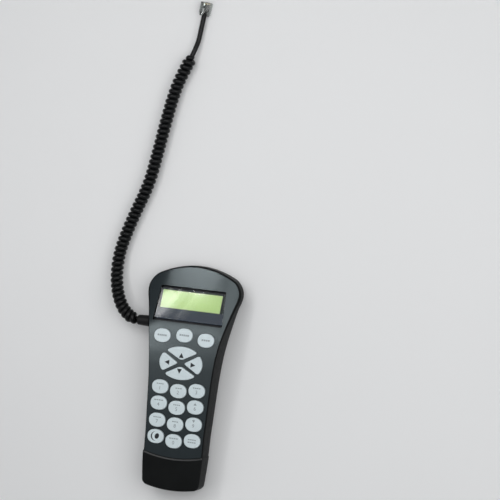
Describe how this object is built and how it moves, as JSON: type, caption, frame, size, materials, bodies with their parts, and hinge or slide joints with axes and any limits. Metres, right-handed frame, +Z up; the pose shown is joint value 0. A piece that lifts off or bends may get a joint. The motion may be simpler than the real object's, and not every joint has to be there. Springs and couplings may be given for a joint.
{
  "type": "hand controller",
  "caption": "Handheld telescope controller: black two-part case, tilted display head with grey faceplate, oval keys, a direction pad, and a coiled cord with a modular plug.",
  "frame": {"origin": "bottom centre of the handset body, on the surface its flat back rests on", "axes": "+Z up out of the keypad face, +Y from the lower end to the display head, +X to the right as seen from the front"},
  "size_m": [0.1301, 0.441, 0.0326],
  "materials": {
    "black_plastic": "fine satin grain",
    "overlay_grey": "satin printed film",
    "key_white": "satin",
    "clear_lens": "polished clear",
    "bezel_grey": "satin",
    "lcd_green": "smooth display film",
    "backlight_white": "diffuse",
    "board_green": "solder mask",
    "chip_black": "moulded",
    "silicone_grey": "matt silicone",
    "screw_steel": "plated",
    "contact_gold": "gold plated",
    "connector_nylon": "natural nylon",
    "cord_black": "smooth jacket",
    "label_silver": "blank film label"
  },
  "bodies": {
    "controller": {"front_shell": "black_plastic", "rear_shell": "black_plastic", "face_overlay": "overlay_grey", "window_lens": "clear_lens", "lcd_bezel": "bezel_grey", "lcd_glass": "lcd_green", "lcd_backlight": "backlight_white", "lcd_board": "board_green", "lcd_header": "chip_black", "keypad_web": "silicone_grey", "main_board": "board_green", "microcontroller": "chip_black", "memory_chip": "chip_black", "crystal": "screw_steel", "capacitor": "chip_black", "regulator": "chip_black", "cord_header": "connector_nylon", "inner_lead": "cord_black", "data_jack": "chip_black", "jack_contacts": "contact_gold", "strain_relief": "cord_black", "rear_label": "label_silver", "curly_cord": "cord_black", "cord_lead": "cord_black", "modular_plug": "clear_lens", "case_screw_lower_left": "screw_steel", "board_screw_lower_left": "screw_steel", "case_screw_lower_right": "screw_steel", "board_screw_lower_right": "screw_steel", "case_screw_upper_left": "screw_steel", "board_screw_upper_left": "screw_steel", "case_screw_upper_right": "screw_steel", "board_screw_upper_right": "screw_steel"},
    "key_top_left_body": {"key_top_left": "key_white"},
    "key_top_middle_body": {"key_top_middle": "key_white"},
    "key_top_right_body": {"key_top_right": "key_white"},
    "key_up_body": {"key_up": "key_white"},
    "key_down_body": {"key_down": "key_white"},
    "key_left_body": {"key_left": "key_white"},
    "key_right_body": {"key_right": "key_white"},
    "key_upper_left_body": {"key_upper_left": "key_white"},
    "key_upper_middle_body": {"key_upper_middle": "key_white"},
    "key_upper_right_body": {"key_upper_right": "key_white"},
    "key_row2_left_body": {"key_row2_left": "key_white"},
    "key_row2_middle_body": {"key_row2_middle": "key_white"},
    "key_row2_right_body": {"key_row2_right": "key_white"},
    "key_row3_left_body": {"key_row3_left": "key_white"},
    "key_row3_middle_body": {"key_row3_middle": "key_white"},
    "key_row3_right_body": {"key_row3_right": "key_white"},
    "key_lower_left_body": {"key_lower_left": "key_white"},
    "key_lower_middle_body": {"key_lower_middle": "key_white"},
    "key_lower_right_body": {"key_lower_right": "key_white"},
    "plug_latch_body": {"plug_latch": "clear_lens"}
  },
  "joints": [
    {"name": "key_top_left_press", "type": "slide", "parent": "controller", "child": "key_top_left_body", "axis": [0, -0.1368, -0.9906], "range_m": [0, 0.001], "stiffness_N_per_m": 300, "springref_m": -0.002},
    {"name": "key_top_middle_press", "type": "slide", "parent": "controller", "child": "key_top_middle_body", "axis": [0, -0.1534, -0.9882], "range_m": [0, 0.001], "stiffness_N_per_m": 300, "springref_m": -0.002},
    {"name": "key_top_right_press", "type": "slide", "parent": "controller", "child": "key_top_right_body", "axis": [0, -0.1368, -0.9906], "range_m": [0, 0.001], "stiffness_N_per_m": 300, "springref_m": -0.002},
    {"name": "key_up_press", "type": "slide", "parent": "controller", "child": "key_up_body", "axis": [0, 0.0523, -0.9986], "range_m": [0, 0.001], "stiffness_N_per_m": 300, "springref_m": -0.002},
    {"name": "key_down_press", "type": "slide", "parent": "controller", "child": "key_down_body", "axis": [0, 0.0523, -0.9986], "range_m": [0, 0.001], "stiffness_N_per_m": 300, "springref_m": -0.002},
    {"name": "key_left_press", "type": "slide", "parent": "controller", "child": "key_left_body", "axis": [0, 0.0523, -0.9986], "range_m": [0, 0.001], "stiffness_N_per_m": 300, "springref_m": -0.002},
    {"name": "key_right_press", "type": "slide", "parent": "controller", "child": "key_right_body", "axis": [0, 0.0523, -0.9986], "range_m": [0, 0.001], "stiffness_N_per_m": 300, "springref_m": -0.002},
    {"name": "key_upper_left_press", "type": "slide", "parent": "controller", "child": "key_upper_left_body", "axis": [0, 0.0523, -0.9986], "range_m": [0, 0.001], "stiffness_N_per_m": 300, "springref_m": -0.002},
    {"name": "key_upper_middle_press", "type": "slide", "parent": "controller", "child": "key_upper_middle_body", "axis": [0, 0.0523, -0.9986], "range_m": [0, 0.001], "stiffness_N_per_m": 300, "springref_m": -0.002},
    {"name": "key_upper_right_press", "type": "slide", "parent": "controller", "child": "key_upper_right_body", "axis": [0, 0.0523, -0.9986], "range_m": [0, 0.001], "stiffness_N_per_m": 300, "springref_m": -0.002},
    {"name": "key_row2_left_press", "type": "slide", "parent": "controller", "child": "key_row2_left_body", "axis": [0, 0.0523, -0.9986], "range_m": [0, 0.001], "stiffness_N_per_m": 300, "springref_m": -0.002},
    {"name": "key_row2_middle_press", "type": "slide", "parent": "controller", "child": "key_row2_middle_body", "axis": [0, 0.0523, -0.9986], "range_m": [0, 0.001], "stiffness_N_per_m": 300, "springref_m": -0.002},
    {"name": "key_row2_right_press", "type": "slide", "parent": "controller", "child": "key_row2_right_body", "axis": [0, 0.0523, -0.9986], "range_m": [0, 0.001], "stiffness_N_per_m": 300, "springref_m": -0.002},
    {"name": "key_row3_left_press", "type": "slide", "parent": "controller", "child": "key_row3_left_body", "axis": [0, 0.0523, -0.9986], "range_m": [0, 0.001], "stiffness_N_per_m": 300, "springref_m": -0.002},
    {"name": "key_row3_middle_press", "type": "slide", "parent": "controller", "child": "key_row3_middle_body", "axis": [0, 0.0523, -0.9986], "range_m": [0, 0.001], "stiffness_N_per_m": 300, "springref_m": -0.002},
    {"name": "key_row3_right_press", "type": "slide", "parent": "controller", "child": "key_row3_right_body", "axis": [0, 0.0523, -0.9986], "range_m": [0, 0.001], "stiffness_N_per_m": 300, "springref_m": -0.002},
    {"name": "key_lower_left_press", "type": "slide", "parent": "controller", "child": "key_lower_left_body", "axis": [0, 0.0523, -0.9986], "range_m": [0, 0.001], "stiffness_N_per_m": 300, "springref_m": -0.002},
    {"name": "key_lower_middle_press", "type": "slide", "parent": "controller", "child": "key_lower_middle_body", "axis": [0, 0.0523, -0.9986], "range_m": [0, 0.001], "stiffness_N_per_m": 300, "springref_m": -0.002},
    {"name": "key_lower_right_press", "type": "slide", "parent": "controller", "child": "key_lower_right_body", "axis": [0, 0.0523, -0.9986], "range_m": [0, 0.001], "stiffness_N_per_m": 300, "springref_m": -0.002},
    {"name": "plug_latch_flex", "type": "hinge", "parent": "controller", "child": "plug_latch_body", "pos_m": [-0.02338, 0.33884, 0.00695], "axis": [0.9935, -0.1135, 0], "range_deg": [0, 8], "stiffness_Nm_per_rad": 0.05}
  ]
}
